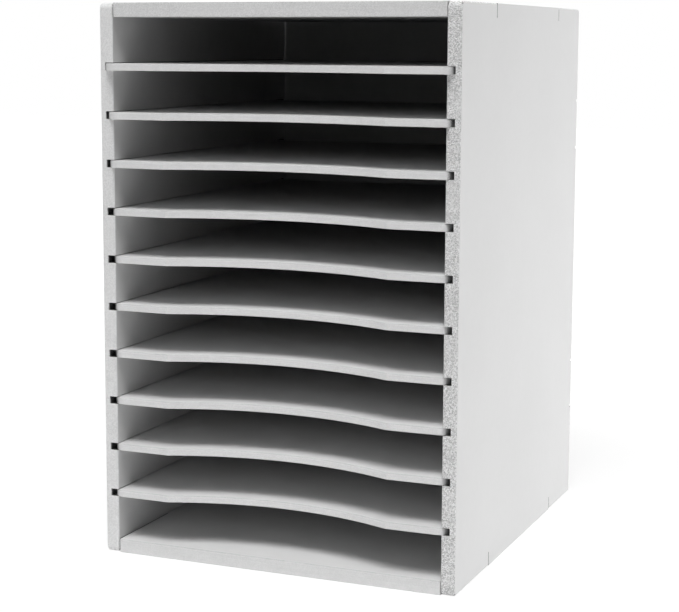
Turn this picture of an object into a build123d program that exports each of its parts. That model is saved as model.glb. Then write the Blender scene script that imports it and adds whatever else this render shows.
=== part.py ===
from build123d import *
import os

# Vertical desktop sorter of rigid foam board: a carcass of five boards joined by tabs in
# notches, with ten shelves that slide out of the front of grooves in the side panels.
# The origin is on the table under the middle of the carcass. The front faces -Y.

# Carcass
width = 270
depth = 300
height = 400
board = 10  # side panels, top and bottom
back_sheet = 3  # back panel
corner_radius = 4  # corners of the side panels, seen from the side
panel_arris = 0.8  # small chamfer along every edge of the side panels
fine_arris = 0.3  # the same on the other boards and the shelves

# Shelves
shelf_count = 10
shelf_pitch = 34.5
shelf_thickness = 5
groove_height = 5.6
groove_depth = 6
groove_stop = 1  # wall left between a groove's end and the back panel's notches
groove_floor_gap = 0.05  # between a groove's floor and the shelf that lies on it
shelf_side_gap = 0.5  # between a groove's bottom and the end of its shelf

# Finger recess in the front of each shelf
recess_width = 168
recess_depth = 17.5
kink_radius = 2
shelf_front_radius = 10
shelf_rear_radius = 2

# Tabs of the top and bottom boards, with the play that the boards have between the panels
board_tab_front = 77  # behind the front of the panels
board_tab_length = 160
board_tab_gap = 0.8  # open seam at the front and the rear of a tab
left_play = 0.9
right_play = 0.3

# Tabs of the back panel
back_recess = 1
back_tab_height = 36
back_tab_spacing = 215
back_notch_height = 40.5

# How far each shelf stands out from its innermost place, from the top one down
home_gap = 2.2  # from a groove's half-round end to a shelf that is pushed right in
home_front = 1  # such a shelf's front is this far behind the front of the panels
shelf_stands_out = (8, 5, 4, 1, 0, 0, 0, 0, 0, 1)

front = -depth / 2
rear = depth / 2
inner = width / 2 - board
back_face = rear - back_recess - back_sheet
groove_end = back_face - groove_stop
shelf_depth = groove_end - home_gap - (front + home_front)
groove_bottom = inner + groove_depth
shelf_width = 2 * (groove_bottom - shelf_side_gap)
board_tab_middle = front + board_tab_front + board_tab_length / 2
top_shelf_level = height / 2 + (shelf_count - 1) / 2 * shelf_pitch


def side_panel(side):
    """Side panel on the left (-1) or the right (1), grooved on its inner face."""
    inner_face = Plane.YZ.offset(side * inner)
    groove_start = front - groove_height
    with BuildPart() as panel:
        with BuildSketch(inner_face) as outline:
            with Locations((0, height / 2)):
                Rectangle(depth, height)
            fillet(outline.vertices(), corner_radius)
        extrude(amount=side * board)
        chamfer(panel.edges().filter_by(Plane.YZ), panel_arris)
        # The grooves run out of the front edge, and their half-round ends stop the shelves.
        with BuildSketch(inner_face):
            with Locations(((groove_start + groove_end) / 2, height / 2)):
                with GridLocations(0, shelf_pitch, 1, shelf_count):
                    SlotOverall(groove_end - groove_start, groove_height)
        extrude(amount=side * groove_depth, mode=Mode.SUBTRACT)
        # Notches, open at the panel's edges, for the tabs of the other boards.
        with BuildSketch(inner_face):
            with Locations((board_tab_middle, height / 2)):
                with GridLocations(0, height - board, 1, 2):
                    Rectangle(board_tab_length + 2 * board_tab_gap, board)
            with Locations(((back_face + rear) / 2, height / 2)):
                with GridLocations(0, back_tab_spacing, 1, 2):
                    Rectangle(rear - back_face, back_notch_height)
        extrude(amount=side * board, mode=Mode.SUBTRACT)
    return panel


def end_board(underside):
    """Top or bottom board, with one long tab on each end that shows outside."""
    left_end = -inner + left_play
    right_end = inner - right_play
    middle = (left_end + right_end) / 2
    tab_reach = right_end - left_end + 2 * (board + right_play)
    with BuildPart() as end:
        with BuildSketch(Plane.XY.offset(underside)):
            with Locations((middle, 0)):
                Rectangle(right_end - left_end, depth)
            with Locations((middle, board_tab_middle)):
                Rectangle(tab_reach, board_tab_length)
        extrude(amount=board)
        # Only the front and rear faces have an arris: the tabs' crisp edges close their notches.
        from_front = end.faces().sort_by(Axis.Y)
        chamfer(from_front[0].edges() + from_front[-1].edges(), fine_arris)
    return end


def shelf(level, stands_out):
    """Removable shelf with rounded front corners and a shallow finger recess."""
    shelf_front = front + home_front - stands_out
    shelf_rear = shelf_front + shelf_depth
    underside = level - groove_height / 2 + groove_floor_gap
    half_width = shelf_width / 2
    half_recess = recess_width / 2
    with BuildPart() as plate:
        with BuildSketch(Plane.XY.offset(underside)) as outline:
            with BuildLine():
                Polyline(
                    (half_recess, shelf_front),
                    (half_width, shelf_front),
                    (half_width, shelf_rear),
                    (-half_width, shelf_rear),
                    (-half_width, shelf_front),
                    (-half_recess, shelf_front),
                )
                SagittaArc(
                    (-half_recess, shelf_front),
                    (half_recess, shelf_front),
                    recess_depth,
                )
            make_face()
            front_corners = outline.vertices().group_by(Axis.Y)[0].sort_by(Axis.X)
            rear_corners = outline.vertices().group_by(Axis.Y)[-1]
            fillet([front_corners[0], front_corners[-1]], shelf_front_radius)
            fillet(front_corners[1:-1], kink_radius)
            fillet(rear_corners, shelf_rear_radius)
        extrude(amount=shelf_thickness)
        chamfer(plate.edges().filter_by(Plane.XY), fine_arris)
    return plate


def finish(piece, name):
    """Label a piece and write it to its own file."""
    piece.part.label = name
    export_step(piece.part, f"parts/{name}.step")


os.makedirs("parts", exist_ok=True)

left_side_panel = side_panel(-1)
finish(left_side_panel, "left_side_panel")

right_side_panel = side_panel(1)
finish(right_side_panel, "right_side_panel")

bottom_board = end_board(0)
finish(bottom_board, "bottom_board")

top_board = end_board(height - board)
finish(top_board, "top_board")

# The back panel fills the frame of the other four boards.
with BuildPart() as back_panel:
    with BuildSketch(Plane.XZ.offset(-rear + back_recess)):
        with Locations((0, height / 2)):
            Rectangle(2 * inner, height - 2 * board)
            with GridLocations(0, back_tab_spacing, 1, 2):
                Rectangle(width, back_tab_height)
    extrude(amount=back_sheet)
    chamfer(back_panel.faces().sort_by(Axis.Y)[-1].edges(), fine_arris)
finish(back_panel, "back_panel")

for index, stands_out in enumerate(shelf_stands_out):
    level = top_shelf_level - index * shelf_pitch
    finish(shelf(level, stands_out), f"shelf_{index + 1:02d}")
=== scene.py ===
import math

import bpy
from mathutils import Euler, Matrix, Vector


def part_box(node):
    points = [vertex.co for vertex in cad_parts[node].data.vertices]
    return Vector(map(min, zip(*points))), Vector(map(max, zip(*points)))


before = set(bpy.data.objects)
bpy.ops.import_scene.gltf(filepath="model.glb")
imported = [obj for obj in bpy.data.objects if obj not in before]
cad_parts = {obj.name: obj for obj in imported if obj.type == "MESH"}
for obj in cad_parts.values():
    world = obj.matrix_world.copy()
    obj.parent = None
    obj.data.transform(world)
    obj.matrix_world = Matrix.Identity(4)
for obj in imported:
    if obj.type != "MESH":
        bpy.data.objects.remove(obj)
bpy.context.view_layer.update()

scene = bpy.context.scene
scene.view_settings.view_transform = "Standard"

# Camera: fitted to the corners of the carcass in the photograph, 679 x 612 pixels.
# Its place is in metres, its angles are in degrees and the sensor's width is in millimetres.
PHOTO_SIZE = Vector((679, 612))
FOCAL_PIXELS = 1683
CENTRE_PIXEL = Vector((339.5, 265))
CAMERA_PLACE = Vector((0.4833, -1.1983, 0.3736))
CAMERA_YAW = -22.47
CAMERA_PITCH = -7.57
CAMERA_ROLL = 0.24
SENSOR_WIDTH = 36.0
CLIP_START = 0.05

# Side panels, in metres, with the chamfer along their edges. The carcass is centred on X and Y.
panel_low, panel_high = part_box("right_side_panel")
PANEL_INNER = panel_low.x
PANEL_OUTER = panel_high.x
PANEL_HALF_DEPTH = panel_high.y
PANEL_HALF_HEIGHT = panel_high.z / 2
BOARD_THICKNESS = PANEL_OUTER - PANEL_INNER
PANEL_ARRIS = 0.0008

# The broad faces of each board are square to this axis, and those of the shelves to Z
SKIN_AXES = {
    "left_side_panel": "X",
    "right_side_panel": "X",
    "top_board": "Z",
    "bottom_board": "Z",
    "back_panel": "Y",
}

# Cut edges: grey, how strongly the cells show, and the axis that the saw ran along
CUT_FINISHES = {
    "left_side_panel": (0.89, 0.5, "Z"),
    "right_side_panel": (0.86, 2.0, "Z"),
    "top_board": (0.81, 0.5, "X"),
    "bottom_board": (0.82, 0.2, "X"),
    "back_panel": (0.80, 0.4, "Z"),
}
SHELF_CUT_FINISH = (0.85, 0.2, "X")

# Colours, as linear grey
SKIN_GREY = 0.72
# Painted shade for the walls of grooves, notches and joints
PAINTED_SHADE_GREY = 0.10
# Painted shade on the upper arris of lying boards
TOP_ARRIS_PAINTED_SHADE_GREY = 0.60
# Painted highlight on the lower arris of lying boards
LOW_ARRIS_PAINTED_HIGHLIGHT_GREY = 0.92

# Each board is cut from its own part of the sheet, this far from the one before
SHEET_STEP = (0.37, 0.23, 0.61)

# Noises: scale and detail
CLOUD_NOISE = (9.0, 3.0)
MOTTLE_NOISE = (160.0, 2.0)
STRETCH_NOISE = (28.0, 1.0)
STREAK_NOISE = (1.0, 2.0)
PEEL_NOISE = (620.0, 2.0)
FLOOR_NOISE = (3.0, 3.0)

# Values of a noise at which its effect is full, at either end
NOISE_ENDS = (0.3, 0.7)
STREAK_ENDS = (0.35, 0.65)
STRETCH_ENDS = (0.38, 0.62)

# How much they change the grey, either way
CLOUD_TONE = 0.012
MOTTLE_TONE = 0.008
STREAK_TONE = 0.015
FLOOR_TONE = 0.01

# Scales, per metre, that draw the noise of the saw's streaks out along the cut
STREAK_ALONG = 14.0
STREAK_ACROSS = 900.0

# Open cells: how many to the metre, and the change of grey from the darkest to the lightest.
# They show in full in some stretches of a cut, and wherever it is low down, which comes in from
# the first of two heights to the second, in metres. Elsewhere they show by the faint share.
CELL_SCALE = 1500.0
CELL_TONES = (-0.17, 0.12)
FAINT_SHARE = 0.7
LOW_DOWN = (0.26, 0.14)

# Relief, in metres, and gloss
PIT_DEPTH = 0.00035
PEEL_HEIGHT = 0.00003
BUMP_STRENGTH = 0.6
CUT_ROUGHNESS = 0.85
SKIN_ROUGHNESS = (0.5, 0.6)
BOARD_IOR = 1.45

# Part of a normal that lies along an axis, from where a face begins to count as square to it,
# or an arris as turned up or down, to where it fully does
SQUARE_TO_AXIS = (0.86, 0.94)
TURNED = (0.5, 0.6)

# Widths, in metres, over which plain board gives way to painted shade, and the rim that is kept free of
# painted shade
HAIR_FADE = 0.0002
THIN_FADE = 0.0003
RIM_FADE = 0.0005
MOUTH_FADE = 0.0010
LIT_RIM = 0.0010

# Walls this near, in metres, close a shelf's edge in, and shade is painted on it by how much open sky
# it sees: between two shares, and sooner on a shelf whose front stands out of its grooves by more than the
# least.
ENCLOSING_REACH = 0.008
ENCLOSED_INSIDE = (0.80, 0.10)
ENCLOSED_STANDING_OUT = (1.0, 0.75)
LEAST_STAND_OUT = 0.001
OCCLUSION_SAMPLES = 8

# Floor: the grey that lights the object, near it and far from it, and the grey and the share of
# white glow that are seen. The distances are from the object's middle, in metres.
FLOOR_REACH = 6.0
FLOOR_GREY = 0.88
FAR_FLOOR_GREY = 0.30
BOUNCE_DISTANCES = (0.6, 1.6)
SEEN_FLOOR_GREY = 0.9
FLOOR_ROUGHNESS = 0.9
GLOW_STRENGTH = 1.1
GLOW_DISTANCES = (0.35, 1.1)
GLOW_SHARES = (0.72, 1.0)

# Light, and what the lamps face
WHITE = (1, 1, 1, 1)
WORLD_STRENGTH = 0.04
FRONT_MIDDLE = (0, -PANEL_HALF_DEPTH, PANEL_HALF_HEIGHT)
REAR_MIDDLE = (0, 0.1, PANEL_HALF_HEIGHT)
RIGHT_SIDE_FOOT = (0.13, 0, 0.05)


def make_camera():
    """Puts the camera where the photograph was taken from."""
    data = bpy.data.cameras.new("camera")
    data.sensor_width = SENSOR_WIDTH
    data.lens = FOCAL_PIXELS * SENSOR_WIDTH / PHOTO_SIZE.x
    data.shift_x = (PHOTO_SIZE.x / 2 - CENTRE_PIXEL.x) / PHOTO_SIZE.x
    data.shift_y = (CENTRE_PIXEL.y - PHOTO_SIZE.y / 2) / PHOTO_SIZE.x
    data.clip_start = CLIP_START
    camera = bpy.data.objects.new("camera", data)
    yaw = math.radians(CAMERA_YAW)
    pitch = math.radians(CAMERA_PITCH)
    forward = Vector((math.sin(yaw) * math.cos(pitch), math.cos(yaw) * math.cos(pitch), math.sin(pitch)))
    roll = Euler((0, 0, math.radians(CAMERA_ROLL))).to_quaternion()
    camera.location = CAMERA_PLACE
    camera.rotation_mode = "QUATERNION"
    camera.rotation_quaternion = forward.to_track_quat("-Z", "Y") @ roll
    scene.collection.objects.link(camera)
    scene.camera = camera


class Shader:
    """The node tree of a material or of the world, built one node at a time."""

    def __init__(self, owner):
        owner.use_nodes = True
        self.owner = owner
        self.tree = owner.node_tree

    def node(self, kind, settings=None, **inputs):
        """Adds a node. An input is a value, or the socket that feeds it."""
        made = self.tree.nodes.new("ShaderNode" + kind)
        for key, value in (settings or {}).items():
            setattr(made, key, value)
        for key, value in inputs.items():
            self.feed(made, key, value)
        return made

    def feed(self, node, key, value):
        """Sets the input of that name, or of that number after an underscore, as in _0."""
        socket = node.inputs[int(key[1:])] if key[0] == "_" else node.inputs[key.replace("_", " ")]
        if isinstance(value, bpy.types.NodeSocket):
            self.tree.links.new(value, socket)
        else:
            socket.default_value = value

    def math(self, operation, first, *others):
        """Joins two or more values by the operation, from left to right."""
        for other in others:
            first = self.node("Math", {"operation": operation}, _0=first, _1=other).outputs[0]
        return first

    def absolute(self, value):
        """The value without its sign."""
        return self.node("Math", {"operation": "ABSOLUTE"}, _0=value).outputs[0]

    def complement(self, share):
        """What is left of 1."""
        return self.math("SUBTRACT", 1.0, share)

    def vector(self, operation, first, second):
        return self.node("VectorMath", {"operation": operation}, _0=first, _1=second).outputs[0]

    def split(self, vector):
        """The outputs X, Y and Z of a vector."""
        return self.node("SeparateXYZ", Vector=vector).outputs

    def ramp(self, value, low, high, to_low=0.0, to_high=1.0):
        """Maps low..high to to_low..to_high in a straight line, and holds it outside."""
        made = self.node("MapRange", Value=value, From_Min=low, From_Max=high, To_Min=to_low, To_Max=to_high)
        return made.outputs["Result"]

    def sway(self, noise, ends, most):
        """Maps a noise to -most..most."""
        return self.ramp(noise, *ends, -most, most)

    def noise(self, place, scale, detail):
        return self.node("TexNoise", Vector=place, Scale=scale, Detail=detail).outputs["Fac"]

    def mix(self, factor, first, second):
        return self.node("Mix", {"data_type": "FLOAT"}, _0=factor, _2=first, _3=second).outputs[0]

    def colour(self, grey):
        return self.node("CombineColor", Red=grey, Green=grey, Blue=grey).outputs[0]

    def sees_background(self):
        """1 for a ray that shows the background: from the camera, off gloss or through glass."""
        ray = self.node("LightPath").outputs
        return self.math("MAXIMUM", ray["Is Camera Ray"], ray["Is Glossy Ray"], ray["Is Transmission Ray"])


def foam_board(name, skin_axis, seed, cut_finish, is_panel, shelf_front):
    """Rigid PVC foam board. Its broad faces, square to skin_axis, have a smooth matt skin.
    So have the ends of tabs, which are trimmed flush with the outside of the side panels.
    Its cut edges and routed grooves show a fine, uneven grain of cells.
    shelf_front is where a shelf's front edge lies along Y, and None on the other boards."""
    cut_grey, grain_strength, saw_axis = cut_finish
    shader = Shader(bpy.data.materials.new(name))
    where = shader.node("TexCoord").outputs
    place = shader.vector("ADD", where["Object"], [seed * step for step in SHEET_STEP])
    normal = shader.split(where["Normal"])
    facing = shader.absolute(normal[skin_axis])
    sideways = shader.absolute(normal["X"])
    # Where shade is painted: the walls of grooves, notches and joints
    painted_shade = painted_shade_mask(shader, where["Object"], facing, sideways, is_panel, shelf_front)
    skin = shader.ramp(shader.math("MAXIMUM", facing, sideways), *SQUARE_TO_AXIS)
    skin = shader.math("MULTIPLY", skin, shader.complement(painted_shade))
    cut = shader.complement(skin)

    # Slow changes of tone over a sheet, with a faint mottle
    cloud = shader.noise(place, *CLOUD_NOISE)
    mottle = shader.noise(place, *MOTTLE_NOISE)
    cloud_tone = shader.sway(cloud, NOISE_ENDS, CLOUD_TONE)
    mottle_tone = shader.sway(mottle, NOISE_ENDS, MOTTLE_TONE)

    # Cells of the foam, opened by the cut
    cells = shader.node("TexVoronoi", {"feature": "F1"}, Vector=place, Scale=CELL_SCALE).outputs
    stretch = shader.noise(place, *STRETCH_NOISE)
    strength = shader.ramp(stretch, *STRETCH_ENDS, FAINT_SHARE * grain_strength, grain_strength)
    low_strength = shader.ramp(shader.split(where["Object"])["Z"], *LOW_DOWN, 0.0, grain_strength)
    open_cells = shader.math("MULTIPLY", shader.math("MAXIMUM", strength, low_strength), cut)
    cell_tone = shader.ramp(shader.split(cells["Color"])["X"], 0.0, 1.0, *CELL_TONES)
    grain = shader.math("MULTIPLY", cell_tone, open_cells)

    # Faint streaks that the saw left along the cut
    streak_scales = [STREAK_ALONG if axis == saw_axis else STREAK_ACROSS for axis in "XYZ"]
    streak = shader.noise(shader.vector("MULTIPLY", place, streak_scales), *STREAK_NOISE)
    streaks = shader.math("MULTIPLY", shader.sway(streak, STREAK_ENDS, STREAK_TONE), cut)

    # On the lying boards, shade is painted on the upper arris and a highlight on the lower arris
    edge_grey_with_painted_light = cut_grey
    if not is_panel:
        painted_shade_up = shader.ramp(normal["Z"], *TURNED)
        painted_highlight_down = shader.ramp(shader.math("MULTIPLY", normal["Z"], -1.0), *TURNED)
        edge_grey_with_painted_light = shader.mix(painted_shade_up, edge_grey_with_painted_light, TOP_ARRIS_PAINTED_SHADE_GREY)
        edge_grey_with_painted_light = shader.mix(painted_highlight_down, edge_grey_with_painted_light, LOW_ARRIS_PAINTED_HIGHLIGHT_GREY)
    # Painted shade on the walls of grooves, notches and joints
    edge_grey_with_painted_light = shader.mix(painted_shade, edge_grey_with_painted_light, PAINTED_SHADE_GREY)
    grey = shader.mix(skin, edge_grey_with_painted_light, SKIN_GREY)
    grey = shader.math("ADD", grey, cloud_tone, mottle_tone, grain, streaks)

    # Pits where the cells are open, and the skin's own very shallow orange peel
    pits = shader.math("MULTIPLY", cells["Distance"], open_cells, -PIT_DEPTH)
    peel = shader.math("MULTIPLY", shader.noise(place, *PEEL_NOISE), skin, PEEL_HEIGHT)
    relief = shader.math("ADD", pits, peel)
    bump = shader.node("Bump", Strength=BUMP_STRENGTH, Distance=1.0, Height=relief)

    surface = shader.tree.nodes["Principled BSDF"]
    skin_roughness = shader.ramp(mottle, *NOISE_ENDS, *SKIN_ROUGHNESS)
    shader.feed(surface, "Base_Color", shader.colour(grey))
    shader.feed(surface, "Roughness", shader.mix(skin, CUT_ROUGHNESS, skin_roughness))
    shader.feed(surface, "Normal", bump.outputs["Normal"])
    shader.feed(surface, "IOR", BOARD_IOR)
    return shader.owner


def painted_shade_mask(shader, place, facing, sideways, is_panel, shelf_front):
    """1 where shade is painted, greyer than what the light reaches: on the walls of grooves, notches and
    joints.
    """
    at = shader.split(place)
    across = shader.absolute(at["X"])
    near_outside = PANEL_OUTER - PANEL_ARRIS
    outside = shader.ramp(across, near_outside, near_outside + HAIR_FADE)
    outer_face = shader.math("MULTIPLY", outside, shader.ramp(sideways, *SQUARE_TO_AXIS))
    if not is_panel:
        # Painted shade on the narrow faces of a board or a shelf, where they are inside a side panel
        mouth = PANEL_INNER + PANEL_ARRIS
        inside = shader.ramp(across, mouth, mouth + MOUTH_FADE)
        # On a shelf the painted shade follows how closely the walls of its groove surround the edge
        if shelf_front is not None:
            inside = shader.math("MULTIPLY", inside, painted_groove_shade(shader, shelf_front))
        open_face = shader.math("MAXIMUM", outer_face, shader.ramp(facing, *SQUARE_TO_AXIS))
        return shader.math("MULTIPLY", inside, shader.complement(open_face))

    # Painted shade in the grooves and notches of a side panel, and on the strips of its inner face behind
    # the boards' ends
    past_inner = shader.ramp(across, PANEL_INNER, PANEL_INNER + THIN_FADE)
    hollows = shader.math("SUBTRACT", past_inner, outer_face)
    up = shader.absolute(shader.math("SUBTRACT", at["Z"], PANEL_HALF_HEIGHT))
    board_level = PANEL_HALF_HEIGHT - BOARD_THICKNESS
    at_board = shader.ramp(up, board_level, board_level + THIN_FADE)
    on_inner = shader.ramp(across, PANEL_INNER + THIN_FADE, PANEL_INNER + THIN_FADE - HAIR_FADE)
    behind_ends = shader.math("MULTIPLY", at_board, on_inner)

    # The rim is kept free of painted shade
    along = shader.absolute(at["Y"])
    rim_depth = PANEL_HALF_DEPTH - LIT_RIM
    rim_height = PANEL_HALF_HEIGHT - LIT_RIM
    within_depth = shader.ramp(along, rim_depth, rim_depth - RIM_FADE)
    within_height = shader.ramp(up, rim_height, rim_height - RIM_FADE)
    return shader.math("MULTIPLY", shader.math("MAXIMUM", hollows, behind_ends), within_depth, within_height)


def painted_groove_shade(shader, shelf_front):
    """1 where shade is painted on a shelf's edge, as the walls of its groove surround it, and 0 where it is
    in the open.
    """
    stands_out = shelf_front < -PANEL_HALF_DEPTH - LEAST_STAND_OUT
    open_sky = ENCLOSED_STANDING_OUT if stands_out else ENCLOSED_INSIDE
    near = shader.node("AmbientOcclusion", {"samples": OCCLUSION_SAMPLES}, Distance=ENCLOSING_REACH)
    return shader.ramp(near.outputs["AO"], *open_sky)


def make_floor():
    """Plain floor. It lights the object as a pale grey sheet would, and looks white with a soft shadow."""
    reach = FLOOR_REACH
    corners = [(-reach, -reach, 0), (reach, -reach, 0), (reach, reach, 0), (-reach, reach, 0)]
    mesh = bpy.data.meshes.new("floor")
    mesh.from_pydata(corners, [], [(0, 1, 2, 3)])
    floor = bpy.data.objects.new("floor", mesh)
    scene.collection.objects.link(floor)

    shader = Shader(bpy.data.materials.new("floor_white"))
    place = shader.node("TexCoord").outputs["Object"]
    far = shader.node("VectorMath", {"operation": "LENGTH"}, _0=place).outputs["Value"]
    seen = shader.sees_background()
    bounce = shader.ramp(far, *BOUNCE_DISTANCES, FLOOR_GREY, FAR_FLOOR_GREY)
    mottle_tone = shader.sway(shader.noise(place, *FLOOR_NOISE), NOISE_ENDS, FLOOR_TONE)
    grey = shader.math("ADD", shader.mix(seen, bounce, SEEN_FLOOR_GREY), mottle_tone)
    surface = shader.tree.nodes["Principled BSDF"]
    shader.feed(surface, "Base_Color", shader.colour(grey))
    shader.feed(surface, "Roughness", FLOOR_ROUGHNESS)

    glow = shader.node("Emission", Color=WHITE, Strength=GLOW_STRENGTH)
    share = shader.math("MULTIPLY", seen, shader.ramp(far, *GLOW_DISTANCES, *GLOW_SHARES))
    mixed = shader.node("MixShader", _0=share, _1=surface.outputs[0], _2=glow.outputs[0])
    shader.feed(shader.tree.nodes["Material Output"], "Surface", mixed.outputs[0])
    mesh.materials.append(shader.owner)


def make_world():
    """Weak white light from all round, which is plain white where it shows."""
    world = bpy.data.worlds.new("world")
    scene.world = world
    shader = Shader(world)
    strength = shader.ramp(shader.sees_background(), 0.0, 1.0, WORLD_STRENGTH, 1.0)
    background = shader.tree.nodes["Background"]
    shader.feed(background, "Color", WHITE)
    shader.feed(background, "Strength", strength)


def area_lamp(name, place, target, size, power):
    """Soft box that faces its target. Its first size is level."""
    data = bpy.data.lights.new(name, "AREA")
    data.shape = "RECTANGLE"
    data.size, data.size_y = size
    data.energy = power
    lamp = bpy.data.objects.new(name, data)
    lamp.location = place
    lamp.rotation_mode = "QUATERNION"
    lamp.rotation_quaternion = (Vector(target) - Vector(place)).to_track_quat("-Z", "Y")
    scene.collection.objects.link(lamp)


def dress():
    """Gives each piece its own board, cut from its own part of the sheet."""
    for seed, (name, node) in enumerate(sorted(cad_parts.items())):
        skin_axis = SKIN_AXES.get(name, "Z")
        finish = CUT_FINISHES.get(name, SHELF_CUT_FINISH)
        is_panel = name.endswith("side_panel")
        shelf_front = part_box(name)[0].y if name.startswith("shelf") else None
        board = foam_board(name + "_board", skin_axis, seed, finish, is_panel, shelf_front)
        node.data.materials.clear()
        node.data.materials.append(board)


make_camera()
dress()
make_floor()
make_world()
area_lamp("key", place=(0.6, -1.65, 4.6), target=FRONT_MIDDLE, size=(1.8, 1.7), power=118)
area_lamp("front", place=(0.6, -2.6, 4.2), target=FRONT_MIDDLE, size=(1.8, 1.4), power=46)
area_lamp("left", place=(-1.2, -2.0, 4.3), target=FRONT_MIDDLE, size=(1.8, 1.4), power=40)
area_lamp("side", place=(1.4, 0.8, 0.15), target=RIGHT_SIDE_FOOT, size=(0.8, 0.24), power=12)
area_lamp("rear", place=(-1.5, 2.2, 1.2), target=REAR_MIDDLE, size=(1.0, 0.8), power=14)
